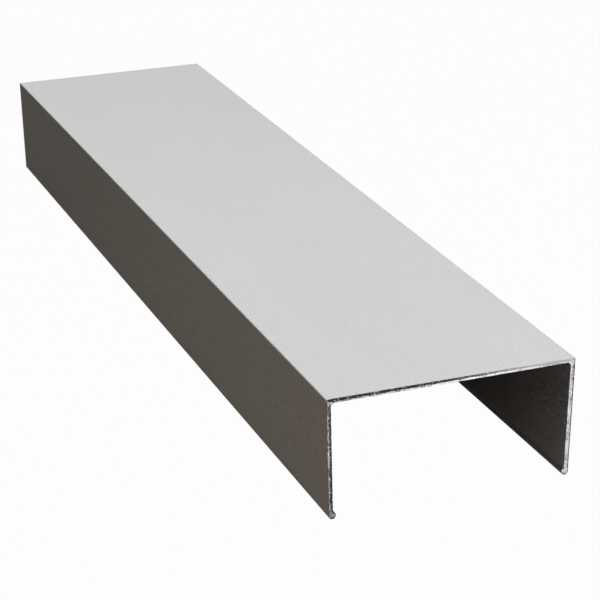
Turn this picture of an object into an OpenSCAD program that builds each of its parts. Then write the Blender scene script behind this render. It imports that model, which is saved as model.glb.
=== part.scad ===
// Metal channel section: one extruded length of U-shaped edging for a panel.
// It lies on its two flange tips, with the web on top and its length along Y.
// Both flanges lean in a little and end in a round bead, so that the pair grips the panel's faces.

/* [Section] */
// Width across the outside of the web
channel_w = 52; // [30:0.5:120]
// Height from the flange tips to the outside of the web
channel_h = 25; // [15:0.5:60]
// Thickness of the web
web_t = 0.8; // [0.6:0.1:2]
// Thickness of each flange
flange_t = 1; // [0.8:0.1:1.3]
// Lean of each flange toward the other, in degrees
flange_lean = 1.2; // [0:0.1:3]
// Radius in the corner inside each flange
inside_r = 0.7; // [0.3:0.1:2]
// Radius on the corner outside each flange
outside_r = 0.3; // [0.1:0.1:0.6]

/* [Grip beads] */
// Diameter of the bead along each flange tip
bead_d = 1.5; // [1.4:0.1:3]

/* [Stock] */
// Length of the cut piece
cut_length = 225; // [50:1:600]

/* [Hidden] */
// Sides of a drawn circle
$fn = 64;
bead_r = bead_d / 2;
// Direction down a flange on the +X side, and the direction out of its outer face
down_flange = [-sin(flange_lean), -cos(flange_lean)];
out_of_flange = [cos(flange_lean), -sin(flange_lean)];
// Angle that the web makes with each flange
corner_angle = 90 - flange_lean;
// Length of a flange's outer face, which ends level with the bead's centre
face_length = (channel_h - bead_r * (1 - sin(flange_lean))) / cos(flange_lean);
outer_corner = [channel_w / 2, channel_h];
outer_tip = outer_corner + face_length * down_flange;
inner_tip = outer_tip - flange_t * out_of_flange;
bead_centre = outer_tip - bead_r * out_of_flange;
// The inner corner lies below the web and one flange thickness in from the outer face
inner_corner = [
    channel_w / 2 - web_t * tan(flange_lean) - flange_t / cos(flange_lean),
    channel_h - web_t
];
// How far a cutting shape reaches past what it cuts
past = 1;

// The same point on the -X side
function opposite(p) = [-p[0], p[1]];

// A shape with a corner at each of these points on the +X side, listed downward, and at their opposites
module even_polygon(side) {
    last = len(side) - 1;
    polygon([
        each side,
        for (i = [last : -1 : 0]) opposite(side[i])
    ]);
}

// Both sides of the section, from the shape on the +X side
module both_sides() {
    children();
    mirror([1, 0]) children();
}

// The patch between a corner's two straight sides and the arc that touches them both
module corner_patch(corner, r) {
    reach = r / tan(corner_angle / 2);
    arc_centre = corner - [reach, r];
    difference() {
        polygon([corner, corner - [reach, 0], arc_centre, corner + reach * down_flange]);
        translate(arc_centre) circle(r);
    }
}

// The round bead, flush with the flange's outer face. Its circle starts inside the flange's wall.
module bead() {
    translate(bead_centre) rotate(corner_angle) circle(bead_r);
}

// Everything under the web that holds no metal: between the flanges, and round their beads
module open_space() {
    beside_tip = outer_tip + past * out_of_flange;
    below_tip = beside_tip + (bead_d + past) * down_flange;
    difference() {
        even_polygon([inner_corner, inner_tip, beside_tip, below_tip]);
        both_sides() corner_patch(inner_corner, inside_r);
        both_sides() bead();
    }
}

// The section across the length: X is the width and Y the height
module section() {
    difference() {
        even_polygon([outer_corner, outer_tip + bead_d * down_flange]);
        open_space();
        both_sides() corner_patch(outer_corner, outside_r);
    }
}

module channel() {
    color("#C6C7C6")
        translate([0, cut_length / 2, 0])
            rotate([90, 0, 0])
                linear_extrude(cut_length) section();
}

channel();
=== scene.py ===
# %% [markdown]
# A metal channel section, dressed for its portrait.
# The real object is a short length of extruded aluminium channel that edges a panel. It is one piece, so
# this lesson is about doing little well: a section with true arcs, cut ends that look sawn, and a matte
# metal that takes its tones from the light round it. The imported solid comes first, as the frame that
# everything else fits. Lengths are in metres, except where a name ends in _MM or _PX.

# %% Load the frame
import math
import random

import bmesh
import bpy
from mathutils import Matrix, Vector


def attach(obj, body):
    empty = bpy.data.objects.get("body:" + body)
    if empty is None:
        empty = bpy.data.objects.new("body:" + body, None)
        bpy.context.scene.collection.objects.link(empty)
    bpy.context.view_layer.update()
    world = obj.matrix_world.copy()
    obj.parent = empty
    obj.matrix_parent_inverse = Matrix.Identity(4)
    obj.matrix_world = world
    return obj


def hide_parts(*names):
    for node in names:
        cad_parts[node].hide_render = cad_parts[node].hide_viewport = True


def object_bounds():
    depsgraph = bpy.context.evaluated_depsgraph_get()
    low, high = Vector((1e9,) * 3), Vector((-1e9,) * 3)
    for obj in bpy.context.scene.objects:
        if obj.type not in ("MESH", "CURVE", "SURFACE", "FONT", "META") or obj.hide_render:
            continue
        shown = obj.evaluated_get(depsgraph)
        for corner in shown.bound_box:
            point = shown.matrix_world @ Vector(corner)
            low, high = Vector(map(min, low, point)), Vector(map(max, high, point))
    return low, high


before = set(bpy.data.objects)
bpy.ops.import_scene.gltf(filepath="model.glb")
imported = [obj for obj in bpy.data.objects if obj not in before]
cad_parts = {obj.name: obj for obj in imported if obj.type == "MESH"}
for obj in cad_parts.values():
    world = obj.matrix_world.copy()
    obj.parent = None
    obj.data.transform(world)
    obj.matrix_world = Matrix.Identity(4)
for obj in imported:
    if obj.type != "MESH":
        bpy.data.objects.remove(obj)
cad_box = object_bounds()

print("Nodes in the frame:", list(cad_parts))
print("CAD box in metres:", [tuple(corner) for corner in cad_box])

# %% [markdown]
# The camera comes before the shapes, because it decides how much of each shape shows.
# A long lens stands in front of the channel and to its left, and looks down on the web. Its place and
# turn were found by matching the long edges and the near end, so they are written here as a place and
# three angles. None of Blender's orders of Euler angles goes by yaw, pitch and then roll about the line
# of sight, so the three turns are multiplied instead.

# %% Camera
MM = 0.001
RIGHT_ANGLE = math.radians(90)
SENSOR_MM = 36
PICTURE_PX = 600
FOCAL_PX = 2093
CAMERA_PLACE_MM = (-158.5, -437.0, 188.0)
CAMERA_YAW = math.radians(21.43)
CAMERA_PITCH = math.radians(22.19)
CAMERA_ROLL = math.radians(0.26)


def rotation(angle, axis):
    """A turn about one axis, as a 4 by 4 matrix."""
    return Matrix.Rotation(angle, 4, axis)


scene = bpy.context.scene
lens = bpy.data.cameras.new("camera")
lens.sensor_width = SENSOR_MM
lens.lens = FOCAL_PX / PICTURE_PX * SENSOR_MM
camera = bpy.data.objects.new("camera", lens)
scene.collection.objects.link(camera)
camera.matrix_world = (
    Matrix.Translation(Vector(CAMERA_PLACE_MM) * MM)
    @ rotation(-CAMERA_YAW, "Z")
    @ rotation(RIGHT_ANGLE - CAMERA_PITCH, "X")
    @ rotation(-CAMERA_ROLL, "Z")
)
scene.camera = camera
print("Lens:", round(lens.lens, 1), "mm on a sensor of", SENSOR_MM, "mm")

# %% [markdown]
# Three small helpers serve every material. Colours are picked as sRGB hex values, as a screen shows them,
# and a shader wants them linear, so the first turns one into the other. The second adds a node with its
# settings, and its inputs are either plain values or the output of an earlier node. The third starts a
# material with no nodes.

# %% Helpers for materials
# A Mix node has sockets for every kind of data, and these are the numbers of its colour sockets
COLOUR_A = 6
COLOUR_B = 7
COLOUR_OUT = 2


def linear(hex_colour):
    """An sRGB hex colour as linear red, green, blue and alpha."""
    channels = [int(hex_colour[i : i + 2], 16) / 255 for i in (1, 3, 5)]
    toe, slope, offset, power = 0.04045, 12.92, 0.055, 2.4
    straight = [c / slope if c <= toe else ((c + offset) / (1 + offset)) ** power for c in channels]
    return (*straight, 1.0)


def add(tree, kind, inputs=None, **settings):
    """Add one node. Settings go on the node, and each input is a value or another node's output."""
    node = tree.nodes.new(kind)
    for name, value in settings.items():
        setattr(node, name, value)
    for name, value in (inputs or {}).items():
        if isinstance(value, bpy.types.NodeSocket):
            tree.links.new(value, node.inputs[name])
        else:
            node.inputs[name].default_value = value
    return node


def new_material(name):
    """An empty node material and its tree."""
    material = bpy.data.materials.new(name)
    material.use_nodes = True
    material.node_tree.nodes.clear()
    return material, material.node_tree


print("Mid grey is", round(linear("#808080")[0], 3), "in linear light")

# %% [markdown]
# The channel stands on a plain pale floor. Matte metal shows whatever it faces, and a pale floor would
# make its flanges too bright, so only the camera sees this one. It could be lit like any other floor, but
# here it glows by itself, so that it stays even and the shadow on it stays faint.

# %% Floor
STAGE_SIZE = 6.0
FLOOR_GLOW = 0.98
FLOOR_GLOW_COLOUR = "#FFFFFF"
FLOOR_MATT_COLOUR = "#707070"


def add_plane(name):
    """A square plane at floor level that is part of the stage."""
    reach = STAGE_SIZE / 2
    mesh = bpy.data.meshes.new(name)
    corners = [(-reach, -reach, 0), (reach, -reach, 0), (reach, reach, 0), (-reach, reach, 0)]
    mesh.from_pydata(corners, [], [(0, 1, 2, 3)])
    plane = bpy.data.objects.new(name, mesh)
    scene.collection.objects.link(plane)
    return plane


floor = add_plane("floor")
material, tree = new_material("pale_studio_floor")
glow = add(tree, "ShaderNodeEmission", {"Color": linear(FLOOR_GLOW_COLOUR), "Strength": FLOOR_GLOW})
matt = add(tree, "ShaderNodeBsdfDiffuse", {"Color": linear(FLOOR_MATT_COLOUR)})
both = add(tree, "ShaderNodeAddShader", {0: glow.outputs[0], 1: matt.outputs[0]})
add(tree, "ShaderNodeOutputMaterial", {"Surface": both.outputs[0]})
floor.data.materials.append(material)
floor.visible_diffuse = False
floor.visible_glossy = False
print("Floor:", STAGE_SIZE, "m square")

# %% [markdown]
# The real piece was lying on something dark, which is why its flanges are so much darker than its web. So
# a dark table lies in the same place as the floor, and only the metal sees it. It is painted darker toward
# the back, a painted shade that the flange mirrors as its darker far end.

# %% Table
TABLE_NEAR = "#978A7D"
# The far tone is painted shade, which the flange mirrors as its darker far end
TABLE_FAR_PAINTED_SHADE = "#6C6358"
# How far before and behind the middle the table's tone stops changing
TABLE_FADE = 0.13

table = add_plane("table")
material, tree = new_material("dark_table_top")
place = add(tree, "ShaderNodeTexCoord").outputs["Object"]
axes = add(tree, "ShaderNodeSeparateXYZ", {"Vector": place})
# Painted shade: the table darkens toward the back
painted_shade_toward_back = add(tree, "ShaderNodeMapRange", {
    "Value": axes.outputs["Y"], "From Min": -TABLE_FADE, "From Max": TABLE_FADE,
})
tone = add(tree, "ShaderNodeMix", {
    "Factor": painted_shade_toward_back.outputs[0], COLOUR_A: linear(TABLE_NEAR), COLOUR_B: linear(TABLE_FAR_PAINTED_SHADE),
}, data_type="RGBA")
matt = add(tree, "ShaderNodeBsdfDiffuse", {"Color": tone.outputs[COLOUR_OUT]})
add(tree, "ShaderNodeOutputMaterial", {"Surface": matt.outputs[0]})
table.data.materials.append(material)
table.visible_camera = False
print("Table:", material.name, "with", len(tree.nodes), "nodes")

# %% [markdown]
# Matte metal is lit by what it mirrors, so the lights are softboxes that stand where each face looks. The
# web mirrors the large one behind the channel, and the one overhead lights the table. A ring of smaller
# ones keeps the web silver when it is seen from elsewhere. Each light is given by where it is, how large
# it is and how bright it looks, and its power follows from that.

# %% Softboxes
TARGET = Vector((0, 0, (cad_box[0][2] + cad_box[1][2]) / 2))
# Each softbox has a place, a width and height, and a brightness
SOFTBOXES = {
    "web_box": ((0.38, 0.85, 0.62), (1.1, 0.75), 1.14),
    "top_box": ((0.0, 0.1, 1.2), (1.2, 1.2), 0.9),
}
RING_RADIUS = 1.05
RING_HEIGHT = 0.58
RING_BOX_SIZE = (0.85, 0.95)
# Each box of the ring has a direction, in degrees from +X toward +Y, and a brightness
RING = {
    "back_right": (22, 0.6),
    "right": (-10, 0.7),
    "front_right": (-45, 0.9),
    "front": (-90, 0.7),
    "front_left": (-135, 1.05),
    "left": (180, 0.6),
    "back_left": (145, 0.4),
    "back": (108, 0.3),
}


def add_softbox(name, place, size, brightness, target=TARGET):
    """A soft rectangular light that faces its target and looks as bright as said. White paper is 1."""
    light = bpy.data.lights.new(name, "AREA")
    light.shape = "RECTANGLE"
    light.size, light.size_y = size
    light.energy = brightness * math.pi * light.size * light.size_y
    softbox = bpy.data.objects.new(name, light)
    softbox.location = place
    softbox.rotation_euler = (target - Vector(place)).to_track_quat("-Z", "Y").to_euler()
    softbox.visible_camera = False
    scene.collection.objects.link(softbox)


for name, (place, size, brightness) in SOFTBOXES.items():
    add_softbox(name, place, size, brightness)
for side, (degrees, brightness) in RING.items():
    angle = math.radians(degrees)
    place = (RING_RADIUS * math.cos(angle), RING_RADIUS * math.sin(angle), RING_HEIGHT)
    add_softbox(side + "_box", place, RING_BOX_SIZE, brightness)
print("Softboxes:", len(SOFTBOXES) + len(RING))

# %% [markdown]
# Seen from above, the cut ends mirror the table, so bright cards lie on it there. Three serve the parts
# of the near cut, which is dull on the left and brightest along the web. One between them shines into the
# channel, and one lies behind the far cut. They are softboxes too, that face straight up.

# %% Cards
CARD_LIFT = 0.1 * MM
FRONT_GAP = 0.5 * MM
BACK_GAP = 15 * MM
FLANGE_CARD_DEPTH = 40 * MM
WEB_CARD_DEPTH = 60 * MM
BACK_CARD_DEPTH = 100 * MM
near_y = cad_box[0][1]
far_y = cad_box[1][1]

# Each row of cards has a middle and a depth along Y
flange_row = (near_y - FRONT_GAP - FLANGE_CARD_DEPTH / 2, FLANGE_CARD_DEPTH)
web_row = (near_y - FRONT_GAP - FLANGE_CARD_DEPTH - WEB_CARD_DEPTH / 2, WEB_CARD_DEPTH)
back_row = (far_y + BACK_GAP + BACK_CARD_DEPTH / 2, BACK_CARD_DEPTH)
# Each card has a left and a right edge, a row and a brightness
CARDS = {
    "left_cut_card": (-26 * MM, -1 * MM, flange_row, 0.58),
    "inside_card": (-1 * MM, 22 * MM, flange_row, 0.96),
    "right_cut_card": (22 * MM, 50 * MM, flange_row, 0.66),
    "web_cut_card": (-8 * MM, 55 * MM, web_row, 1.9),
    "far_cut_card": (-15 * MM, 58 * MM, back_row, 0.95),
}
for name, (left, right, (y, depth), brightness) in CARDS.items():
    middle = Vector(((left + right) / 2, y, CARD_LIFT))
    straight_up = middle + Vector((0, 0, 1))
    add_softbox(name, middle, (right - left, depth), brightness, straight_up)
print("Cards:", list(CARDS))

# %% [markdown]
# The room is dim to the metal, so that the softboxes and the cards decide its tones, and pale to the
# camera, which may look past the floor's edge. The colours are meant as they are, with no film curve, so
# the view transform is Standard.

# %% Room
ROOM_COLOUR = "#4A4744"
BACKDROP_COLOUR = "#FDFDFD"

world = bpy.data.worlds.new("studio")
world.use_nodes = True
tree = world.node_tree
tree.nodes.clear()
dark_room = add(tree, "ShaderNodeBackground", {"Color": linear(ROOM_COLOUR)})
backdrop = add(tree, "ShaderNodeBackground", {"Color": linear(BACKDROP_COLOUR)})
seen = add(tree, "ShaderNodeLightPath").outputs["Is Camera Ray"]
either = add(tree, "ShaderNodeMixShader", {0: seen, 1: dark_room.outputs[0], 2: backdrop.outputs[0]})
add(tree, "ShaderNodeOutputWorld", {"Surface": either.outputs[0]})
scene.world = world
scene.view_settings.view_transform = "Standard"
print("View transform:", scene.view_settings.view_transform)

# %% [markdown]
# The channel is extruded, so one section says almost everything. Its sizes are those of the solid. Only
# the right half is worked out, because the left half is its mirror image. The flange leans in a little,
# so its own directions come first, then the outer and the inner corner, and then the round bead that the
# flange ends in.

# %% Section sizes
WIDTH = 52 * MM
HEIGHT = 25 * MM
WEB_T = 0.8 * MM
FLANGE_T = 1 * MM
BEAD_R = 0.75 * MM
INSIDE_R = 0.7 * MM
OUTSIDE_R = 0.3 * MM
LEAN = math.radians(1.2)


def direction(angle):
    """The way that an angle points. Angles count from +X toward +Z."""
    return Vector((math.cos(angle), math.sin(angle)))


down = Vector((-math.sin(LEAN), -math.cos(LEAN)))
out = Vector((math.cos(LEAN), -math.sin(LEAN)))
outer_corner = Vector((WIDTH / 2, HEIGHT))
inner_corner = Vector((WIDTH / 2 - WEB_T * math.tan(LEAN) - FLANGE_T / math.cos(LEAN), HEIGHT - WEB_T))
# The flange's outer face ends level with the bead's centre
face_length = (HEIGHT - BEAD_R * (1 - math.sin(LEAN))) / math.cos(LEAN)
outer_tip = outer_corner + face_length * down
bead_centre = outer_tip - BEAD_R * out
# The angle at the bead's centre between the ends of the outer and the inner face
meeting = math.acos((BEAD_R - FLANGE_T) / BEAD_R)
inner_tip = bead_centre + BEAD_R * direction(meeting - LEAN)
print("Outer face of a flange:", round(face_length / MM, 2), "mm")

# %% [markdown]
# The outline could be traced as a long list of points, but the real die was drawn with lines and arcs,
# and so is this. The wall has two faces, so the outline is made as two chains with the same number of
# points, one along the outside and one along the inside, with the bead between them: then the cut ends
# can be closed by simple quads from chain to chain.

# %% Section outline
POINT_SPACING = 0.5 * MM
CORNER_STEPS = 10
BEAD_STEPS = 40


def line(start, end, steps):
    """Evenly spaced points from start up to, but not including, end."""
    return [start.lerp(end, i / steps) for i in range(steps)]


def arc(centre, radius, start, turn, steps):
    """Points along an arc up to, but not including, its end."""
    return [centre + radius * direction(start + turn * i / steps) for i in range(steps)]


def wall_chain(corner, radius, tip):
    """One face of the wall at x > 0: from the middle of the web, round its corner and down to the tip."""
    reach = 1 / math.tan((RIGHT_ANGLE - LEAN) / 2)
    centre = corner - radius * Vector((reach, 1))
    middle = Vector((0, corner.y))
    web_steps = round(WIDTH / 2 / POINT_SPACING)
    flange_steps = round(HEIGHT / POINT_SPACING)
    chain = line(middle, Vector((centre.x, corner.y)), web_steps)
    chain += arc(centre, radius, RIGHT_ANGLE, -(RIGHT_ANGLE + LEAN), CORNER_STEPS)
    chain += line(centre + radius * out, tip, flange_steps)
    return chain + [tip]


outside = wall_chain(outer_corner, OUTSIDE_R, outer_tip)
inside = wall_chain(inner_corner, INSIDE_R, inner_tip)
bead = arc(bead_centre, BEAD_R, -LEAN, meeting - 2 * math.pi, BEAD_STEPS)[1:]
half = outside + bead + inside[::-1]
outline = half + [Vector((-p.x, p.y)) for p in reversed(half[1:-1])]
print("Section outline:", len(outline), "points")

# %% [markdown]
# A saw leaves a raw edge all round the cut. Where the teeth came out, up and to the right, they dragged
# the metal into a burr that someone has filed round, and where they went in the edge is crisp. The
# burr is wider at the left than at the right, and wider on a flange than along the web.

# %% Burr of the saw
BURR_WEB_LEFT = 0.43 * MM
BURR_WEB_RIGHT = 0.16 * MM
BURR_FLANGE_LEFT = 0.54 * MM
BURR_FLANGE_RIGHT = 0.20 * MM
TEETH_COME_OUT = Vector((1, 1))


def outward_normals(points):
    """The direction out of the metal at each point of a closed outline that runs clockwise."""
    normals = []
    for i in range(len(points)):
        along = (points[(i + 1) % len(points)] - points[i - 1]).normalized()
        normals.append(Vector((-along.y, along.x)))
    return normals


def burr_width(point, normal):
    """How wide the burr is at a point: full where the teeth came out, and nothing where they went in."""
    across = point.x / WIDTH + 0.5
    sideways = max(0.0, normal.x)
    at_left = BURR_WEB_LEFT + (BURR_FLANGE_LEFT - BURR_WEB_LEFT) * sideways
    at_right = BURR_WEB_RIGHT + (BURR_FLANGE_RIGHT - BURR_WEB_RIGHT) * sideways
    full = at_left + (at_right - at_left) * across
    return full * min(1.0, max(0.0, normal.dot(TEETH_COME_OUT)))


normals = outward_normals(outline)
burr_widths = [burr_width(point, normal) for point, normal in zip(outline, normals)]
print("Burr up to", round(max(burr_widths) / MM, 2), "mm wide")

# %% [markdown]
# A bevel modifier would round the edge by one width all the way, so the width of this arris is worked out
# point by point. It wanders as a hand does, by a few sine waves of different lengths, which a seed picks
# for each end. The outer corners and the beads leave less room, so it narrows toward them.

# %% Arris of the cut ends
CRISP = 0.10 * MM
# An arris wider than this is a burr
BURR_SHOWS = 0.15 * MM
BURR_WANDER = 0.3
WANDER_LENGTH = 2.2 * MM
WANDER_SPREAD = (0.4, 1.6)
WANDER_WAVES = 4
NEAR_SEED = 3
FAR_SEED = 8
# The widest arris at an outer corner and at a bead, and how fast it may widen away from them
CORNER_ROOM = 0.24 * MM
BEAD_ROOM = 0.22 * MM
ROOM_SLOPE = 0.5


def wander(points, seed):
    """A wave along a closed outline, from -1 to 1 at each point."""
    draw = random.Random(seed)
    steps = [(points[i] - points[i - 1]).length for i in range(len(points))]
    total = sum(steps)
    waves = []
    for _ in range(WANDER_WAVES):
        count = round(total / WANDER_LENGTH * draw.uniform(*WANDER_SPREAD))
        phase = draw.uniform(0, 2 * math.pi)
        waves.append((count, phase))
    heights = []
    travelled = 0.0
    for step in steps:
        travelled += step
        turn = 2 * math.pi * travelled / total
        heights.append(sum(math.sin(count * turn + phase) for count, phase in waves) / WANDER_WAVES)
    return heights


def room_at(point):
    """The widest arris that fits at a point."""
    from_corner = (Vector((abs(point.x), point.y)) - outer_corner).length - OUTSIDE_R
    above_bead = point.y - 2 * BEAD_R
    corner_room = CORNER_ROOM + ROOM_SLOPE * max(0.0, from_corner)
    bead_room = BEAD_ROOM + ROOM_SLOPE * max(0.0, above_bead)
    return min(corner_room, bead_room)


def arris(seed):
    """The width of the arris at each point of the outline, and whether a burr shows there."""
    widths = []
    burred = []
    for point, burr, wave in zip(outline, burr_widths, wander(outline, seed)):
        width = CRISP + burr * (1 + BURR_WANDER * wave)
        widths.append(min(width, room_at(point)))
        burred.append(width > BURR_SHOWS)
    return widths, burred


near_widths, near_burred = arris(NEAR_SEED)
far_widths, far_burred = arris(FAR_SEED)
print("Arris from", round(min(near_widths) / MM, 2), "to", round(max(near_widths) / MM, 2), "mm")

# %% [markdown]
# Now the outline is swept along Y, as rings of points. A bevelled curve could do that, but the ends need
# rings of their own: the near arris from the cut face outward, then the long skin, then the far arris.
# Each ring of an arris is the outline drawn in along its normals, on a quarter ellipse that is shallow
# where the burr is wide.

# %% Rings along the length
ARRIS_RINGS = 8
# How deep an arris goes, as a share of its own width and a crisp one's together
ARRIS_DEPTH = 0.5
SKIN_RINGS = 20


def end_rings(end_y, inward, widths):
    """Rings of an arris from the cut face to the skin. Inward is +1 or -1, the way into the length."""
    rings = []
    for k in range(ARRIS_RINGS + 1):
        angle = RIGHT_ANGLE * (1 - k / ARRIS_RINGS)
        ring = []
        for point, normal, width in zip(outline, normals, widths):
            depth = ARRIS_DEPTH * (width + CRISP)
            drawn_in = point - width * (1 - math.cos(angle)) * normal
            y = end_y + inward * depth * (1 - math.sin(angle))
            ring.append((drawn_in.x, y, drawn_in.y))
        rings.append(ring)
    return rings


near_rings = end_rings(near_y, 1, near_widths)
far_rings = end_rings(far_y, -1, far_widths)[::-1]
skin_rings = []
for k in range(1, SKIN_RINGS):
    y = near_y + (far_y - near_y) * k / SKIN_RINGS
    skin_rings.append([(point.x, y, point.y) for point in outline])
rings = near_rings + skin_rings + far_rings
print("Rings:", len(rings), "of", len(outline), "points")

# %% [markdown]
# Strips of quads join each ring to the next. A face gets the slot of its material as it is made: skin
# along the length, and on an arris the burr's painted shade where the burr shows and bare cut elsewhere.

# %% Strips from ring to ring
SKIN = 0
CUT = 1
SHADED_BURR = 2

shape = bmesh.new()
loops = [[shape.verts.new(place) for place in ring] for ring in rings]
strips = len(loops) - 1
count = len(outline)
for k in range(strips):
    near_arris = k < ARRIS_RINGS
    far_arris = k >= strips - ARRIS_RINGS
    burred = near_burred if near_arris else far_burred
    for i in range(count):
        j = (i + 1) % count
        face = shape.faces.new((loops[k][i], loops[k + 1][i], loops[k + 1][j], loops[k][j]))
        face.smooth = True
        if near_arris or far_arris:
            face.material_index = SHADED_BURR if burred[i] else CUT
        else:
            face.material_index = SKIN
print("Strips:", len(shape.faces), "faces")

# %% [markdown]
# The cut faces close the two ends. One many-sided face over the whole section is so thin and so hollow
# that its triangles can shade as dark wedges. So each wall is closed by quads from its outside chain to
# its inside one, and only the round bead is a single face. On the left half a point's number is negative,
# which counts back round the loop.

# %% Cut faces
SHARP_ANGLE = math.radians(35)

stations = len(outside)
last = len(half) - 1
wall_quads = [(k, k + 1, last - k - 1, last - k) for k in range(stations - 1)]
bead_face = range(stations - 1, last - stations + 2)
for loop in (loops[0], loops[-1]):
    for side in (1, -1):
        for corners in (*wall_quads, bead_face):
            face = shape.faces.new([loop[side * i] for i in corners])
            face.material_index = CUT
bmesh.ops.recalc_face_normals(shape, faces=shape.faces)
mesh = bpy.data.meshes.new("channel_section")
shape.to_mesh(mesh)
shape.free()
mesh.set_sharp_from_angle(angle=SHARP_ANGLE)
channel = bpy.data.objects.new("channel_section", mesh)
scene.collection.objects.link(channel)
weighted = channel.modifiers.new("flat faces stay flat", "WEIGHTED_NORMAL")
weighted.keep_sharp = True
print("Channel:", len(mesh.vertices), "points and", len(mesh.polygons), "faces")

# %% [markdown]
# The skin is anodised aluminium. It was extruded, etched in caustic soda until it lost its shine, and
# anodised clear, so the eye sees a neutral grey metal with a soft sheen, faint die lines along the
# length, a fine etched grain and broad, weak clouds. Each is a noise texture, stretched along Y where the
# die drew it out. Die lines are really about 0.1 mm apart and the grain finer still, and both are drawn
# coarser here so that they show at all.

# %% Die lines, grain and clouds
DIE_LINE_MM = 0.7
DIE_LINE_LENGTH_MM = 160
GRAIN_MM = 0.5
CLOUD_MM = 22
CLOUD_LENGTH_MM = 120


def per_metre(size_mm):
    """How many times a pattern of this size repeats in a metre."""
    return 1 / (size_mm * MM)


skin, tree = new_material("anodised_aluminium")
place = add(tree, "ShaderNodeTexCoord").outputs["Object"]
along_length = add(tree, "ShaderNodeMapping", {
    "Vector": place,
    "Scale": (per_metre(DIE_LINE_MM), per_metre(DIE_LINE_LENGTH_MM), per_metre(DIE_LINE_MM)),
})
die_lines = add(tree, "ShaderNodeTexNoise", {
    "Vector": along_length.outputs[0], "Scale": 1.0, "Detail": 3.0, "Roughness": 0.6,
})
grain = add(tree, "ShaderNodeTexNoise", {
    "Vector": place, "Scale": per_metre(GRAIN_MM), "Detail": 2.0, "Roughness": 0.5,
})
cloud_space = add(tree, "ShaderNodeMapping", {
    "Vector": place,
    "Scale": (per_metre(CLOUD_MM), per_metre(CLOUD_LENGTH_MM), per_metre(CLOUD_MM)),
})
clouds = add(tree, "ShaderNodeTexNoise", {
    "Vector": cloud_space.outputs[0], "Scale": 1.0, "Detail": 2.0, "Roughness": 0.5,
})
print("Die lines of", DIE_LINE_MM, "mm, grain of", GRAIN_MM, "mm and clouds of", CLOUD_MM, "mm")

# %% [markdown]
# The clouds hardly change the colour. The die lines and the grain are in the roughness and the bump,
# where a matte metal shows them best. The grain is also drawn higher than the real one, which is only a
# few microns.

# %% Anodised aluminium skin
SKIN_DARK = "#CFD0D0"
SKIN_LIGHT = "#D6D7D7"
# The share of grain in the etch, where die lines are the rest
GRAIN_SHARE = 0.85
# Most of the etch lies between these two values
ETCH_LOW = 0.35
ETCH_HIGH = 0.65
SKIN_SMOOTHEST = 0.34
SKIN_ROUGHEST = 0.50
DIE_LINE_HEIGHT_MM = 0.0008
GRAIN_HEIGHT_MM = 0.05

tone = add(tree, "ShaderNodeMix", {
    "Factor": clouds.outputs["Fac"], COLOUR_A: linear(SKIN_DARK), COLOUR_B: linear(SKIN_LIGHT),
}, data_type="RGBA")
etch = add(tree, "ShaderNodeMix", {
    "Factor": GRAIN_SHARE, "A": die_lines.outputs["Fac"], "B": grain.outputs["Fac"],
})
sheen = add(tree, "ShaderNodeMapRange", {
    "Value": etch.outputs["Result"], "From Min": ETCH_LOW, "From Max": ETCH_HIGH,
    "To Min": SKIN_SMOOTHEST, "To Max": SKIN_ROUGHEST,
})
line_bump = add(tree, "ShaderNodeBump", {
    "Height": die_lines.outputs["Fac"], "Strength": 1.0, "Distance": DIE_LINE_HEIGHT_MM * MM,
})
grain_bump = add(tree, "ShaderNodeBump", {
    "Height": grain.outputs["Fac"], "Strength": 1.0, "Distance": GRAIN_HEIGHT_MM * MM,
    "Normal": line_bump.outputs[0],
})
metal = add(tree, "ShaderNodeBsdfPrincipled", {
    "Base Color": tone.outputs[COLOUR_OUT], "Metallic": 1.0, "Roughness": sheen.outputs[0],
    "Normal": grain_bump.outputs[0],
})
add(tree, "ShaderNodeOutputMaterial", {"Surface": metal.outputs[0]})
print("Skin material:", skin.name, "with", len(tree.nodes), "nodes")

# %% [markdown]
# The cut ends are bare sawn aluminium. Each tooth of the blade left an arc about the blade's own centre,
# so the marks are rings of noise by distance from that centre. The eye sees bright metal, broken into
# lighter and darker flecks where the chips tore, with duller patches where the blade rubbed. Real flecks
# are finer, and these are as coarse as they need to be to show.

# %% Saw marks, flecks and patches
BLADE_CENTRE_MM = (-60, 0, -95)
SAW_MARK_MM = 0.35
FLECK_MM = 0.5
PATCH_MM = 2.5
# Multiplying by this leaves out the place along the length
FLAT_ACROSS = (1, 0, 1)

cut, tree = new_material("sawn_bare_aluminium")
place = add(tree, "ShaderNodeTexCoord").outputs["Object"]
across = add(tree, "ShaderNodeVectorMath", {0: place, 1: FLAT_ACROSS}, operation="MULTIPLY")
from_blade = add(tree, "ShaderNodeVectorMath", {
    0: across.outputs[0], 1: tuple(c * MM for c in BLADE_CENTRE_MM),
}, operation="DISTANCE")
ring_count = add(tree, "ShaderNodeMath", {
    0: from_blade.outputs["Value"], 1: per_metre(SAW_MARK_MM),
}, operation="MULTIPLY")
marks = add(tree, "ShaderNodeTexNoise", {
    "W": ring_count.outputs[0], "Scale": 1.0, "Detail": 2.0, "Roughness": 0.6,
}, noise_dimensions="1D")
flecks = add(tree, "ShaderNodeTexNoise", {
    "Vector": place, "Scale": per_metre(FLECK_MM), "Detail": 3.0, "Roughness": 0.6,
})
patches = add(tree, "ShaderNodeTexNoise", {
    "Vector": place, "Scale": per_metre(PATCH_MM), "Detail": 1.0, "Roughness": 0.5,
})
print("Saw marks of", SAW_MARK_MM, "mm, flecks of", FLECK_MM, "mm and patches of", PATCH_MM, "mm")

# %% [markdown]
# Flecks and patches together decide how bright each spot is. Toward the left flange the flecks are
# shifted darker, a painted shade for the cut's duller left side. The saw marks are in the gloss and, with
# the flecks, in the bump, which is drawn deeper than the real tears are.

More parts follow.
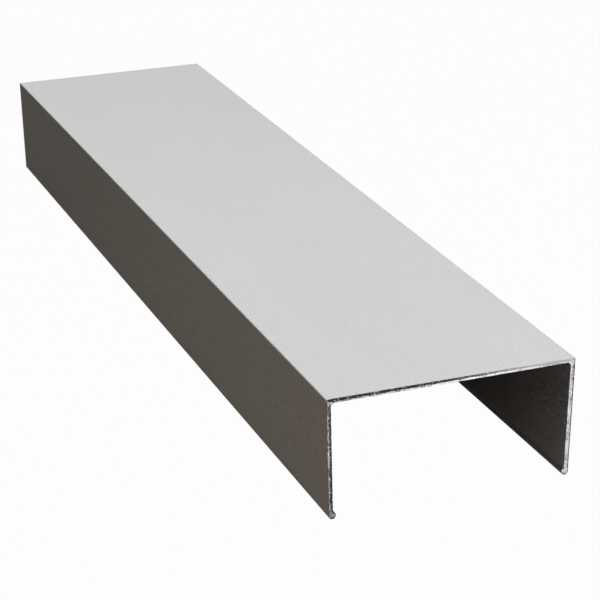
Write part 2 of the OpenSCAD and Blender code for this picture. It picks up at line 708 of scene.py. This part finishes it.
# %% Bare sawn ends
CUT_DARK = "#908F96"
CUT_BRIGHT = "#F8F7FB"
# The share of patches in the torn metal, where flecks are the rest
PATCH_SHARE = 0.45
# Painted shade: how much darker the cut gets toward the left flange
PAINTED_SHADE_AT_LEFT = 0.08
# Torn metal goes from dark to bright between these two values
TORN_LOW = 0.39
TORN_HIGH = 0.54
# Most of the saw marks lie between these two values
MARK_LOW = 0.3
MARK_HIGH = 0.7
CUT_SMOOTHEST = 0.28
CUT_ROUGHEST = 0.45
SAW_MARK_HEIGHT_MM = 0.012
FLECK_HEIGHT_MM = 0.12

torn = add(tree, "ShaderNodeMix", {
    "Factor": PATCH_SHARE, "A": flecks.outputs["Fac"], "B": patches.outputs["Fac"],
})
axes = add(tree, "ShaderNodeSeparateXYZ", {"Vector": place})
# Painted shade: the cut darkens toward the left
painted_shade_to_left = add(tree, "ShaderNodeMapRange", {
    "Value": axes.outputs["X"], "From Min": 0, "From Max": -WIDTH / 2, "To Max": PAINTED_SHADE_AT_LEFT,
})
torn_and_shaded = add(tree, "ShaderNodeMath", {
    0: torn.outputs["Result"], 1: painted_shade_to_left.outputs[0],
}, operation="SUBTRACT")
bright_share = add(tree, "ShaderNodeMapRange", {
    "Value": torn_and_shaded.outputs[0], "From Min": TORN_LOW, "From Max": TORN_HIGH,
})
tone = add(tree, "ShaderNodeMix", {
    "Factor": bright_share.outputs[0], COLOUR_A: linear(CUT_DARK), COLOUR_B: linear(CUT_BRIGHT),
}, data_type="RGBA")
gloss = add(tree, "ShaderNodeMapRange", {
    "Value": marks.outputs["Fac"], "From Min": MARK_LOW, "From Max": MARK_HIGH,
    "To Min": CUT_SMOOTHEST, "To Max": CUT_ROUGHEST,
})
mark_bump = add(tree, "ShaderNodeBump", {
    "Height": marks.outputs["Fac"], "Strength": 1.0, "Distance": SAW_MARK_HEIGHT_MM * MM,
})
fleck_bump = add(tree, "ShaderNodeBump", {
    "Height": flecks.outputs["Fac"], "Strength": 1.0, "Distance": FLECK_HEIGHT_MM * MM,
    "Normal": mark_bump.outputs[0],
})
metal = add(tree, "ShaderNodeBsdfPrincipled", {
    "Base Color": tone.outputs[COLOUR_OUT], "Metallic": 1.0, "Roughness": gloss.outputs[0],
    "Normal": fleck_bump.outputs[0],
})
add(tree, "ShaderNodeOutputMaterial", {"Surface": metal.outputs[0]})
print("Cut material:", cut.name, "with", len(tree.nodes), "nodes")

# %% [markdown]
# The burr is the same bare metal, dragged and then filed, with painted shade on it. The eye sees a dull,
# dark line with a few brighter scratches across it, and the dark is painted shade for the rounded edge.
# Along the web the painted shade fades toward the right into bare metal, which is painted light. The
# scratches of a real file are finer, and these are as coarse as they need to be to show.

# %% Filed burr
# Painted shade: the dark colour of the burr
BURR_PAINTED_SHADE = "#404046"
BURR_BARE_METAL = "#D8D7DD"
BURR_ROUGHNESS = 0.45
SCRATCH_MM = 0.5
# Scratches go from smut to clean metal between these two values
SCRATCH_LOW = 0.53
SCRATCH_HIGH = 0.74
SCRATCH_HEIGHT_MM = 0.012
# The line along the web fades between these two places across the width
FADE_FROM_MM = 2
FADE_TO_MM = 18

burr_painted_shade_metal, tree = new_material("burr_with_painted_shade")
place = add(tree, "ShaderNodeTexCoord").outputs["Object"]
scratches = add(tree, "ShaderNodeTexNoise", {
    "Vector": place, "Scale": per_metre(SCRATCH_MM), "Detail": 3.0, "Roughness": 0.6,
})
scratched = add(tree, "ShaderNodeMapRange", {
    "Value": scratches.outputs["Fac"], "From Min": SCRATCH_LOW, "From Max": SCRATCH_HIGH,
})
axes = add(tree, "ShaderNodeSeparateXYZ", {"Vector": place})
to_right = add(tree, "ShaderNodeMapRange", {
    "Value": axes.outputs["X"], "From Min": FADE_FROM_MM * MM, "From Max": FADE_TO_MM * MM,
})
on_web = add(tree, "ShaderNodeMapRange", {
    "Value": axes.outputs["Z"], "From Min": HEIGHT - 2 * WEB_T, "From Max": HEIGHT - WEB_T,
})
# Painted light: along the web the burr's dark fades into bare metal toward the right
painted_light_on_web = add(tree, "ShaderNodeMath", {
    0: to_right.outputs[0], 1: on_web.outputs[0],
}, operation="MULTIPLY")
scratches_and_painted_light = add(tree, "ShaderNodeMath", {
    0: scratched.outputs[0], 1: painted_light_on_web.outputs[0],
}, operation="ADD", use_clamp=True)
tone = add(tree, "ShaderNodeMix", {
    "Factor": scratches_and_painted_light.outputs[0], COLOUR_A: linear(BURR_PAINTED_SHADE), COLOUR_B: linear(BURR_BARE_METAL),
}, data_type="RGBA")
scratch_bump = add(tree, "ShaderNodeBump", {
    "Height": scratches.outputs["Fac"], "Strength": 1.0, "Distance": SCRATCH_HEIGHT_MM * MM,
})
metal = add(tree, "ShaderNodeBsdfPrincipled", {
    "Base Color": tone.outputs[COLOUR_OUT], "Metallic": 1.0, "Roughness": BURR_ROUGHNESS,
    "Normal": scratch_bump.outputs[0],
})
add(tree, "ShaderNodeOutputMaterial", {"Surface": metal.outputs[0]})
print("Burr material:", burr_painted_shade_metal.name, "with", len(tree.nodes), "nodes")

# %% [markdown]
# Last, the piece is tied to the frame: it rides on the one body there is, and it stands for the imported
# solid, which is hidden.

# %% Fit to the frame
for material in (skin, cut, burr_painted_shade_metal):
    channel.data.materials.append(material)
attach(channel, "root")
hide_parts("channel")
